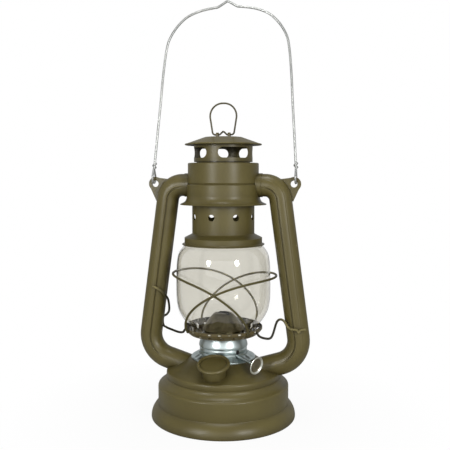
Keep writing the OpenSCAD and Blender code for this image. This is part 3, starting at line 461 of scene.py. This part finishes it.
# The burner cone's dull tin, near black within the slot's radius about the axis: painted shade of
# the slot
CONE_TIN_SLOT_SHADE = dished_metal(
    "tinplate_painted_slot_shade", srgb(90, 84, 62), srgb(110, 103, 78), (0, 0, 0), (0, 0, 1), CONE_SLOT_R,
    (srgb(14, 12, 10), srgb(24, 21, 17)),
)
TIN_DULL = bright_metal(
    "tinplate_dull", srgb(102, 95, 72), srgb(124, 116, 90), 0.42, (1, 1, 10), 0.08
)
KNOB = dished_metal(
    "knob_plate", srgb(214, 216, 206), srgb(238, 240, 232), KNOB_MIDDLE, KNOB_AXIS, KNOB_RIM_R,
    (srgb(96, 90, 72), srgb(128, 120, 98)),
)
ZINC = bright_metal(
    "zinc_wire", srgb(160, 162, 160), srgb(190, 191, 188), 0.36, (1, 1, 1), 0.01, 0.75
)
GLASS = clear_glass()
COTTON = woven_cotton(WICK_TOP_H)
CORK = cork()

OLIVE_NODES = (
    "tank_shell tank_bottom fuel_deck tank_dome filler_neck filler_cap left_tube right_tube "
    "left_socket right_socket left_ear right_ear barrel chimney flue_tube vent_ring hood "
    "ring_staple"
)
for finish, names in (
    (OLIVE, OLIVE_NODES),
    (OLIVE_GALLERY, "gallery"),
    (OLIVE_WIRE, "lift_ring"),
    (GUARD_WIRE, "guard_wire_left guard_wire_right"),
    (LIFT_WIRE, "left_lift_wire right_lift_wire"),
    (TIN, "burner_plate burner_skirt burner_body wick_shaft wick_sprockets"),
    (KNOB, "wick_knob"),
    (TIN_DULL, "wick_tube"),
    (CONE_TIN_SLOT_SHADE, "burner_cone"),
    (ZINC, "chimney_spring spring_seat bail"),
    (GLASS, "globe"),
    (COTTON, "wick"),
    (CORK, "cap_seal"),
):
    for name in names.split():
        nodes[name].data.materials.clear()
        nodes[name].data.materials.append(finish)

# The glass globe

GLOBE_LOW, GLOBE_L = 74.2, 84.2
# A thinner wall than the CAD part's, for the look of the glass
GLASS_T = 1.0
RIM_ANGLES = (30, 60, 90, 120, 150)
# Radii and shares of the globe's height
GLOBE_OUTLINE = [
    (29.4, 0.0), (29.6, 0.043), (32.2, 0.105), (36.2, 0.172), (39.6, 0.255), (41.2, 0.356),
    (41.5, 0.475), (41.4, 0.62), (40.9, 0.739), (39.4, 0.834), (36.1, 0.898), (33.4, 0.936),
    (32.9, 0.96), (32.9, 1.0),
]


def globe_profile():
    """The wall of the globe, with round rims at its foot and top."""
    points = [(r, GLOBE_LOW + GLOBE_L * share, 0) for r, share in GLOBE_OUTLINE]
    outer = [p.to_2d() for p in catmull_rom(points, 6)]
    inner = []
    for i, p in enumerate(outer):
        along = (outer[min(i + 1, len(outer) - 1)] - outer[max(i - 1, 0)]).normalized()
        inner.append(p + GLASS_T * Vector((-along.y, along.x)))
    lip = GLASS_T / 2

    def rim(a, b, sign):
        middle = (a + b) / 2
        half = (a - b) / 2
        return [
            middle + half * math.cos(t) + Vector((0, sign * lip * (math.sin(t) - 1)))
            for t in (math.radians(v) for v in RIM_ANGLES)
        ]

    low_h, high_h = GLOBE_LOW + lip, GLOBE_LOW + GLOBE_L - lip
    body_out = [p for p in outer if low_h <= p.y <= high_h]
    body_in = [p for p in inner if low_h <= p.y <= high_h]
    top = rim(outer[-1], inner[-1], 1)
    low = rim(inner[0], outer[0], -1)
    return [(p.x, p.y) for p in body_out + top + list(reversed(body_in)) + low]


globe = lathe("globe_glass", globe_profile(), GLASS, "globe_carriage")
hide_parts("globe")

# The guard and the lifting wires

# The wires with their coat of paint
WIRE_D = 2.0
SEAT_GAP, CROSS_GAP = 0.05, 0.15
GUARD_FOOT_AZIMUTH = 48.0
# How late a guard wire turns in to the gallery, and how late it falls to it
GUARD_TURN_POWER, GUARD_FALL_POWER = 12, 3.3


def guard_path(cross_side, mirror, tip_h, tuck, steps=140):
    """One guard wire, from the gallery's rim over the front, round the far side and back behind."""
    foot_r = GALLERY_R + GUARD_D / 2 + SEAT_GAP
    cross = cross_side * (GUARD_D + CROSS_GAP) / 2
    points = []
    for i in range(steps + 1):
        w = 2 * i / steps - 1
        azimuth = math.radians(-90 - (90 + GUARD_FOOT_AZIMUTH) * w)
        crossing = max(0.0, math.cos(2 * azimuth)) ** 4
        bent_in = max(0.0, 1 - 4 * w * w) ** 2
        swell = (GUARD_TIP_R - foot_r) * (1 - abs(w) ** GUARD_TURN_POWER)
        r = foot_r + swell + cross * crossing - tuck * bent_in
        h = GUARD_FOOT_H + (tip_h - GUARD_FOOT_H) * (1 - abs(w) ** GUARD_FALL_POWER)
        points.append(Vector((mirror * r * math.sin(azimuth), -r * math.cos(azimuth), h)))
    return points


# Heights are over the gallery
LEFT_LIFT_ROUTE = [
    (-30.87, -17.23, 5.05), (-32.6, -16.9, 2.85), (-37.5, -14.2, 2.15), (-45, -8.2, 2.45),
    (-51.5, -2, 2.55), (-54.6, 5, 1.55), (-58.2, 10.2, 1.25), (-59.4, 11, 5), (-58.8, 11, 9.8),
    (-54.8, 8.6, 12.6), (-50.6, 2, 18.2), (-49.6, -4.5, 28.65), (-52, -9, 34.65),
    (-56.5, -11.6, 39.15), (-61, -11.8, 41.15),
]
RIGHT_LIFT_ROUTE = [
    (32.5, -14.3, 4.65), (34.2, -14, 2.05), (37.5, -13.2, 0.25), (43, -12.6, -0.15),
    (45.8, -12.3, 3.15), (49.2, -12, 14.15), (52.4, -11.9, 16.75), (55.6, -11.8, 15.25),
    (58.2, -11.8, 11.05), (61.2, -11.8, 8.65), (64.6, -11.8, 8.35), (66.6, -11.8, 7.95),
    (68, -12, 5.95), (69.4, -11.8, 7.95), (71.4, -11.6, 8.55), (73.4, -10.9, 8.65),
]


def lift_path(route):
    """A lifting wire's curve through the points of its route."""
    return [p + Vector((0, 0, GALLERY_H)) for p in catmull_rom(route, 8)]


# For a guard wire: its side at the crossing, its mirroring, its top, and how far it is bent in
for name, path, finish in (
    ("guard_wire_left", guard_path(-1, 1, 127.25, 1.8), GUARD_WIRE),
    ("guard_wire_right", guard_path(1, -1, 125.25, -0.7), GUARD_WIRE),
    ("left_lift_wire", lift_path(LEFT_LIFT_ROUTE), LIFT_WIRE),
    ("right_lift_wire", lift_path(RIGHT_LIFT_ROUTE), LIFT_WIRE),
):
    wire = round_wire(name + "_bent", path, WIRE_D / 2, finish, "globe_carriage")
    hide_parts(name)

# The bail, a wire bow with a loop twisted shut at each end

BAIL_D = 2.1
BAIL_X = 63.4
BAIL_PIVOT_H = 210.84
BAIL_LEAN = math.radians(7.0)
BAIL_PEAK = 157.4
BAIL_LOOP_R, BAIL_LOOP_STEPS = 4.5, 24
# The loops' wire, where it is drawn out by bending
BAIL_LOOP_D = 1.8
BAIL_NECK = 8.0
# How far each leg leans in for each millimetre of its rise, over the neck
BAIL_SLOPE = 0.07
WOUND_R, WOUND_L, WOUND_TURNS, WOUND_STEPS = 1.15, 5.0, 1.5, 50
# The wound end starts this far over the neck, and the loop's other end is hidden in the leg
WOUND_RISE = 0.4
END_BACK, END_UNDER = 0.5, 1.0
# Distances from the middle, and heights over the pivot
BAIL_HALF = [
    (BAIL_X, BAIL_NECK), (61.2, 40), (59.4, 65), (57.4, 95), (54.8, 117.5), (51.2, 128),
    (44.7, 137.5), (36.1, 145), (24.6, 149.6), (13, 151.7), (10, 152), (8, 152.7), (1.4, 156.7),
]


def leaned(x, y, h):
    """A point of the upright bail, leaned to where the bail rests."""
    return Vector((
        x,
        y * math.cos(BAIL_LEAN) + h * math.sin(BAIL_LEAN),
        BAIL_PIVOT_H - y * math.sin(BAIL_LEAN) + h * math.cos(BAIL_LEAN),
    ))


def bail_loop(side):
    """From the neck round the pivot and back up, then wound about the bow's leg."""
    touch = math.acos(BAIL_LOOP_R / BAIL_NECK)
    sweep_angle = math.tau - 2 * touch
    points = [(side * BAIL_X, END_BACK, BAIL_NECK - END_UNDER)]
    for i in range(BAIL_LOOP_STEPS + 1):
        a = touch + sweep_angle * i / BAIL_LOOP_STEPS
        points.append((side * BAIL_X, BAIL_LOOP_R * math.sin(a), BAIL_LOOP_R * math.cos(a)))
    for i in range(WOUND_STEPS + 1):
        a, h = math.tau * WOUND_TURNS * i / WOUND_STEPS, WOUND_L * i / WOUND_STEPS
        x = side * (BAIL_X - BAIL_SLOPE * h) + WOUND_R * math.sin(a)
        points.append((x, -WOUND_R * math.cos(a), BAIL_NECK + WOUND_RISE + h))
    return [leaned(*q) for q in points]


right_leg = [(x, 0, h) for x, h in BAIL_HALF]
left_leg = [(-x, 0, h) for x, h in reversed(BAIL_HALF)]
bow = [leaned(*q) for q in catmull_rom(right_leg + [(0, 0, BAIL_PEAK)] + left_leg, 8)]
bail = round_wire("bail_bow", bow, BAIL_D / 2, ZINC, "bail")
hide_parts("bail")
for side, name in ((-1, "bail_loop_left"), (1, "bail_loop_right")):
    round_wire(name, bail_loop(side), BAIL_LOOP_D / 2, ZINC, "bail")

# The chimney's spring

SPRING_R, SPRING_D, SPRING_TURNS, SPRING_STEPS = 26.41, 1.4, 5, 240
SPRING_LOW, SPRING_HIGH = 194.45, 222.55
coil = []
for i in range(SPRING_STEPS + 1):
    a = 2 * math.pi * SPRING_TURNS * i / SPRING_STEPS
    h = SPRING_LOW + (SPRING_HIGH - SPRING_LOW) * i / SPRING_STEPS
    coil.append(Vector((SPRING_R * math.cos(a), SPRING_R * math.sin(a), h)))
# The upper turns give way to the globe's lift and the lower ones to the chimney's
SPLIT = 145
upper = round_wire("chimney_coil", coil[SPLIT:], SPRING_D / 2, ZINC, "frame", 10)
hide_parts("chimney_spring")
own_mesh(upper)
lower = round_wire(
    "chimney_coil_low", coil[: SPLIT + 1], SPRING_D / 2, ZINC, "globe_carriage", 10
)
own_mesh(lower)

# The side tubes with their lapped seams


def bend(points, radii, steps=14):
    """A path of straight runs with round bends at its corners."""
    out = [Vector(points[0])]
    for i in range(1, len(points) - 1):
        a, b, c = (Vector(p) for p in points[i - 1 : i + 2])
        d0, d1 = (b - a).normalized(), (c - b).normalized()
        turn = d0.angle(d1)
        reach = radii[i] * math.tan(turn / 2)
        start = b - d0 * reach
        inward = (d1 - d0 * d0.dot(d1)).normalized()
        centre = start + inward * radii[i]
        for s in range(steps + 1):
            t = turn * s / steps
            out.append(centre - inward * radii[i] * math.cos(t) + d0 * radii[i] * math.sin(t))
    out.append(Vector(points[-1]))
    return out


def densify(path, step):
    """The path with points added, so that none is further than a step from the next."""
    out = [path[0]]
    for a, b in zip(path, path[1:]):
        pieces = max(1, math.ceil((b - a).length / step))
        out += [a.lerp(b, k / pieces) for k in range(1, pieces + 1)]
    return out


# Degrees from the tube's front or back towards its inner side, and the surface's rise there
SEAM = [
    (-90, 0.0), (-30, 0.0), (-25, 0.25), (1, 0.25), (4, 0.5), (8, 0.5), (10, -0.7), (13.5, -0.7),
    (16, 0.0), (90, 0.0),
]
# Where the seam starts after the tube's upper end, stops before its lower one, and how it fades
SEAM_AFTER, SEAM_BEFORE, SEAM_FADE = 5.0, 30.0, 6.0
TUBE_COAT = 0.12
TUBE_STEP = 4.0


def seam_rise(towards_inner):
    """Rise of the tube's surface at so many degrees towards its inner side."""
    for (a0, r0), (a1, r1) in zip(SEAM, SEAM[1:]):
        if a0 <= towards_inner <= a1:
            return r0 + (r1 - r0) * (towards_inner - a0) / (a1 - a0)
    return 0.0


def tube_outlines(path, side, sides=360):
    """Round tube of two halves, lapped in a seam that fades out at the tube's ends."""
    outlines = []
    along = 0.0
    length = sum((b - a).length for a, b in zip(path, path[1:]))
    for i, point in enumerate(path):
        along += (point - path[max(i - 1, 0)]).length
        inside = min(along - SEAM_AFTER, length - SEAM_BEFORE - along)
        fade = min(max(inside / SEAM_FADE, 0.0), 1.0)
        outline = []
        for k in range(sides):
            a = 2 * math.pi * k / sides
            towards_inner = math.degrees(math.atan2(-side * math.sin(a), abs(math.cos(a))))
            outline.append((a, TUBE_D / 2 + TUBE_COAT + fade * seam_rise(towards_inner)))
        outlines.append(outline)
    return outlines


low_end_h = TUBE_LOW[1] - (TUBE_LOW[0] - TUBE_END_X) * math.tan(math.radians(TUBE_FALL))
for side, name in ((-1, "left_tube"), (1, "right_tube")):
    corners = [
        (side * TUBE_START_X, 0, TUBE_TOP[1]), (side * TUBE_TOP[0], 0, TUBE_TOP[1]),
        (side * TUBE_LOW[0], 0, TUBE_LOW[1]), (side * TUBE_END_X, 0, low_end_h),
    ]
    path = densify(bend(corners, (0, ELBOW_R, LOW_BEND_R, 0)), TUBE_STEP)
    outlines = tube_outlines(path, side)
    tube = sweep(name + "_lapped", path, outlines, OLIVE, "frame", round_ends=False)
    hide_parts(name)

# The tank's shell, with a groove where the foot meets the wall


def arc_points(middle, r, start, end, steps):
    """Points of (radius, height) on an arc, by its angles in degrees up from the outward side."""
    angles = [math.radians(start + (end - start) * i / steps) for i in range(steps + 1)]
    return [(middle[0] + r * math.cos(a), middle[1] + r * math.sin(a)) for a in angles]


def inset(profile, inward, under=0.0):
    """The way back along a profile of (radius, height), further in and lower."""
    return [(r - inward, h - under) for r, h in reversed(profile)]


FLANGE_R = 59.7
FLANGE = [(FLANGE_R, 0), (63.2, 0), (63.65, 0.15), (63.92, 0.45)]
FOOT_ARC = arc_points((50.3, 1.0), 13.7, 0, 54.4, 20)
GROOVE_AND_WALL = [(57.75, 12.45), (57.9, 12.9), (57.9, 20)]
SHOULDER_ARC = arc_points((55.6, 27.7), 2.3, 0, 69.9, 8)
COVE = [(56.39, 29.86, 0), (54.68, 30.78, 0), (53.26, 31.98, 0), (52.14, 33.45, 0), (51.3, 35.2, 0)]
UNDER_DOME = [(47.0, 38.3)]
cove_curve = [(v.x, v.y) for v in catmull_rom(COVE, 4)]
shell_wall = FOOT_ARC + GROOVE_AND_WALL + SHOULDER_ARC + cove_curve + UNDER_DOME
shell = lathe(
    "tank_turned", FLANGE + shell_wall + inset(shell_wall, SHEET) + [(FLANGE_R, SHEET)],
    OLIVE, "frame", 240,
)
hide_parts("tank_shell")

# The tank's dome, with its rim turned down onto the shoulder

DOME_PROFILE = [
    (14, 52.28), (27, 52.28), (28.6, 52.2), (29.4, 51.8), (34, 48.4), (40, 44.9), (45, 42.9),
    (48.8, 41.7), (49.8, 41.3), (50.3, 40.6), (50.45, 39.8), (50.5, 36.1),
]
DOME_INWARD, DOME_UNDER = 0.35, 0.5
dome = lathe(
    "dome_turned", DOME_PROFILE + inset(DOME_PROFILE, DOME_INWARD, DOME_UNDER),
    OLIVE, "frame",
)
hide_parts("tank_dome")

# The burner's body, with the groove where it is crimped to its band

BURNER_PROFILE = [
    (20.9, 58.62), (21.0, 61.1), (20.8, 61.6), (20.3, 61.9), (20.5, 62.2), (21.4, 62.7),
    (21.6, 63.5), (21.4, 65.0), (20.8, 67.0), (19.9, 69.4), (19.1, 71.4), (18.6, 72.7),
    (18.2, 73.1),
]
BURNER_WALL = 0.5
burner = lathe(
    "burner_crimped", BURNER_PROFILE + inset(BURNER_PROFILE, BURNER_WALL), TIN, "frame"
)
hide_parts("burner_body")

# The painted shade of the slot in the burner over the wick shaft

SLOT_AZIMUTH = -42.0
SLOT_LOW, SLOT_HIGH = 58.7, 62.3
SLOT_HALF_W, SLOT_R = 1.5, 21.3
SLOT_COLUMNS = (-1, -0.5, 0, 0.5, 1)


def painted_slot_shade(steps=12):
    """A dark patch with a round top, laid on the burner's wall: painted shade of the slot."""
    straight = SLOT_HIGH - SLOT_HALF_W
    count = len(SLOT_COLUMNS)
    verts, faces = [], []
    for i in range(steps + 1):
        h = SLOT_LOW + (SLOT_HIGH - SLOT_LOW) * i / steps
        over = max(0.0, h - straight)
        w = math.sqrt(max(0.01, SLOT_HALF_W**2 - over**2))
        for side in SLOT_COLUMNS:
            a = math.radians(SLOT_AZIMUTH) + side * w / SLOT_R
            verts.append((SLOT_R * math.cos(a), SLOT_R * math.sin(a), h))
    for i in range(steps):
        for j in range(count - 1):
            k = count * i + j
            faces.append((k, k + 1, k + count + 1, k + count))
    return mesh_object("burner_slot_shade", verts, faces, SLOT_SHADE, "frame")


painted_slot_shade()

# The burner's skirt is pressed into flutes where it spreads onto the dome


# Radius and height of the skirt's inner and outer edge
SKIRT_INNER, SKIRT_OUTER = (21.25, 56.8), (28.3, 53.2)
SKIRT_GAP_AZIMUTH, SKIRT_GAP_HALF = -42.7, 6.5
SKIRT_T, FLUTE_H = 0.4, 0.55


def fluted_skirt(flutes=24, around=276, steps=10):
    """A cone of flutes, open where the wick shaft comes out."""
    (inner_r, inner_h), (outer_r, outer_h) = SKIRT_INNER, SKIRT_OUTER
    gap_middle, gap_half = math.radians(SKIRT_GAP_AZIMUTH), math.radians(SKIRT_GAP_HALF)
    rows = []
    for k in range(steps + 1):
        t = k / steps
        wave = FLUTE_H * math.sin(math.pi * (0.15 + 0.85 * t))
        row = []
        for s in range(around + 1):
            a = gap_middle + gap_half + 2 * (math.pi - gap_half) * s / around
            crest = 1 - 2 * abs(math.sin(flutes * a / 2))
            r = inner_r + (outer_r - inner_r) * t
            h = inner_h + (outer_h - inner_h) * t**0.8 + wave * crest
            row.append((r * math.cos(a), r * math.sin(a), h))
        rows.append(row)
    rows += [[(x, y, z - SKIRT_T) for x, y, z in row] for row in reversed(rows)]
    count = around + 1
    faces = []
    for i in range(len(rows)):
        j = (i + 1) % len(rows)
        for s in range(around):
            faces.append((i * count + s, j * count + s, j * count + s + 1, i * count + s + 1))
    faces.append(tuple(i * count for i in range(len(rows))))
    faces.append(tuple(i * count + around for i in reversed(range(len(rows)))))
    verts = [v for row in rows for v in row]
    return mesh_object("skirt_flutes", verts, faces, TIN, "frame")


fluted_skirt()

# The studio, in metres

FLOOR_HALF = 6.0
FLOOR_COLOUR = (0.6, 0.6, 0.592, 1)
# The floor's glow goes from this share close to the lantern to plain white further out
NEAR_SHARE, NEAR_R, FAR_R = 0.95, 0.06, 0.2
# The world's strength as a light and in mirrors
WORLD_LIGHT, WORLD_MIRRORED = 0.2, 0.5
LAMP_AIM_H = 0.15


def either(tree, a, b):
    """An output that is 1 where either of two outputs is."""
    node = tree.nodes.new("ShaderNodeMath")
    node.operation = "MAXIMUM"
    tree.links.new(a, node.inputs[0])
    tree.links.new(b, node.inputs[1])
    return node.outputs[0]


def blend_value(tree, factor, low, high):
    """A number that goes from low to high with the factor; low may be another output."""
    node = tree.nodes.new("ShaderNodeMapRange")
    tree.links.new(factor, node.inputs["Value"])
    for socket, value in ((node.inputs["To Min"], low), (node.inputs["To Max"], high)):
        if isinstance(value, bpy.types.NodeSocket):
            tree.links.new(value, socket)
        else:
            socket.default_value = value
    return node.outputs["Result"]


def studio_floor():
    """A pale floor that is plain white away from the lantern and keeps its shadow close by."""
    mesh = bpy.data.meshes.new("floor")
    corners = [(FLOOR_HALF * x, FLOOR_HALF * y, 0) for x, y in ((-1, -1), (1, -1), (1, 1), (-1, 1))]
    mesh.from_pydata(corners, [], [(0, 1, 2, 3)])
    floor = bpy.data.objects.new("floor", mesh)
    bpy.context.scene.collection.objects.link(floor)
    material = bpy.data.materials.new("floor_white")
    material.use_nodes = True
    tree = material.node_tree
    diffuse = tree.nodes["Principled BSDF"]
    diffuse.inputs["Base Color"].default_value = FLOOR_COLOUR
    diffuse.inputs["Roughness"].default_value = 0.9
    coords = tree.nodes.new("ShaderNodeTexCoord")
    length = tree.nodes.new("ShaderNodeVectorMath")
    length.operation = "LENGTH"
    tree.links.new(coords.outputs["Object"], length.inputs[0])
    near = tree.nodes.new("ShaderNodeMapRange")
    near.inputs["From Min"].default_value = NEAR_R
    near.inputs["From Max"].default_value = FAR_R
    near.inputs["To Min"].default_value = NEAR_SHARE
    tree.links.new(length.outputs["Value"], near.inputs["Value"])
    path = tree.nodes.new("ShaderNodeLightPath")
    shown = either(tree, path.outputs["Is Camera Ray"], path.outputs["Is Transmission Ray"])
    share = blend_value(tree, shown, 0.0, near.outputs["Result"])
    glow = tree.nodes.new("ShaderNodeEmission")
    blend = tree.nodes.new("ShaderNodeMixShader")
    tree.links.new(share, blend.inputs["Fac"])
    tree.links.new(diffuse.outputs["BSDF"], blend.inputs[1])
    tree.links.new(glow.outputs["Emission"], blend.inputs[2])
    tree.links.new(blend.outputs["Shader"], tree.nodes["Material Output"].inputs["Surface"])
    mesh.materials.append(material)


def studio_world():
    """White where it is seen straight or through the glass, grey where it lights or mirrors."""
    world = bpy.data.worlds.new("studio")
    bpy.context.scene.world = world
    world.use_nodes = True
    tree = world.node_tree
    background = tree.nodes["Background"]
    background.inputs["Color"].default_value = (1, 1, 1, 1)
    path = tree.nodes.new("ShaderNodeLightPath")
    unseen = blend_value(tree, path.outputs["Is Glossy Ray"], WORLD_LIGHT, WORLD_MIRRORED)
    shown = either(tree, path.outputs["Is Camera Ray"], path.outputs["Is Transmission Ray"])
    tree.links.new(blend_value(tree, shown, unseen, 1.0), background.inputs["Strength"])


def softbox(name, azimuth, height, distance, width, tall, power, shape="ELLIPSE"):
    """An area lamp at an azimuth from the front, aimed at the globe."""
    lamp = bpy.data.lights.new(name, "AREA")
    lamp.shape = shape
    lamp.size, lamp.size_y = width, tall
    lamp.energy = power
    obj = bpy.data.objects.new(name, lamp)
    a = math.radians(azimuth)
    obj.location = (distance * math.sin(a), -distance * math.cos(a), height)
    aim = Vector((0, 0, LAMP_AIM_H)) - obj.location
    obj.rotation_mode = "QUATERNION"
    obj.rotation_quaternion = aim.to_track_quat("-Z", "Y")
    bpy.context.scene.collection.objects.link(obj)


studio_floor()
studio_world()
softbox("key_left", -24.0, 0.38, 1.0, 0.22, 0.3, 3.6)
softbox("key_right", 45.0, 0.38, 1.0, 0.22, 0.3, 3.6)
softbox("fill", 12.0, 0.3, 1.2, 2.2, 0.6, 3.6, "RECTANGLE")
softbox("top", 0.0, 1.4, 0.12, 0.45, 0.45, 5.0)

# The camera at the photograph's angle

CAMERA_PLACE = (0.1203, -0.5662, 0.2126)
# Degrees down and round, and millimetres
CAMERA_TILT, CAMERA_TURN = 4.25, 11.85
CAMERA_LENS, CAMERA_SENSOR = 52.8, 36.0

camera = bpy.data.cameras.new("photo_camera")
camera.sensor_width = CAMERA_SENSOR
camera.lens = CAMERA_LENS
camera.clip_start = 0.01
eye = bpy.data.objects.new("photo_camera", camera)
eye.location = CAMERA_PLACE
eye.rotation_euler = (math.radians(90 - CAMERA_TILT), 0, math.radians(CAMERA_TURN))
bpy.context.scene.collection.objects.link(eye)
bpy.context.scene.camera = eye
bpy.context.scene.view_settings.view_transform = "Standard"

bpy.context.view_layer.update()
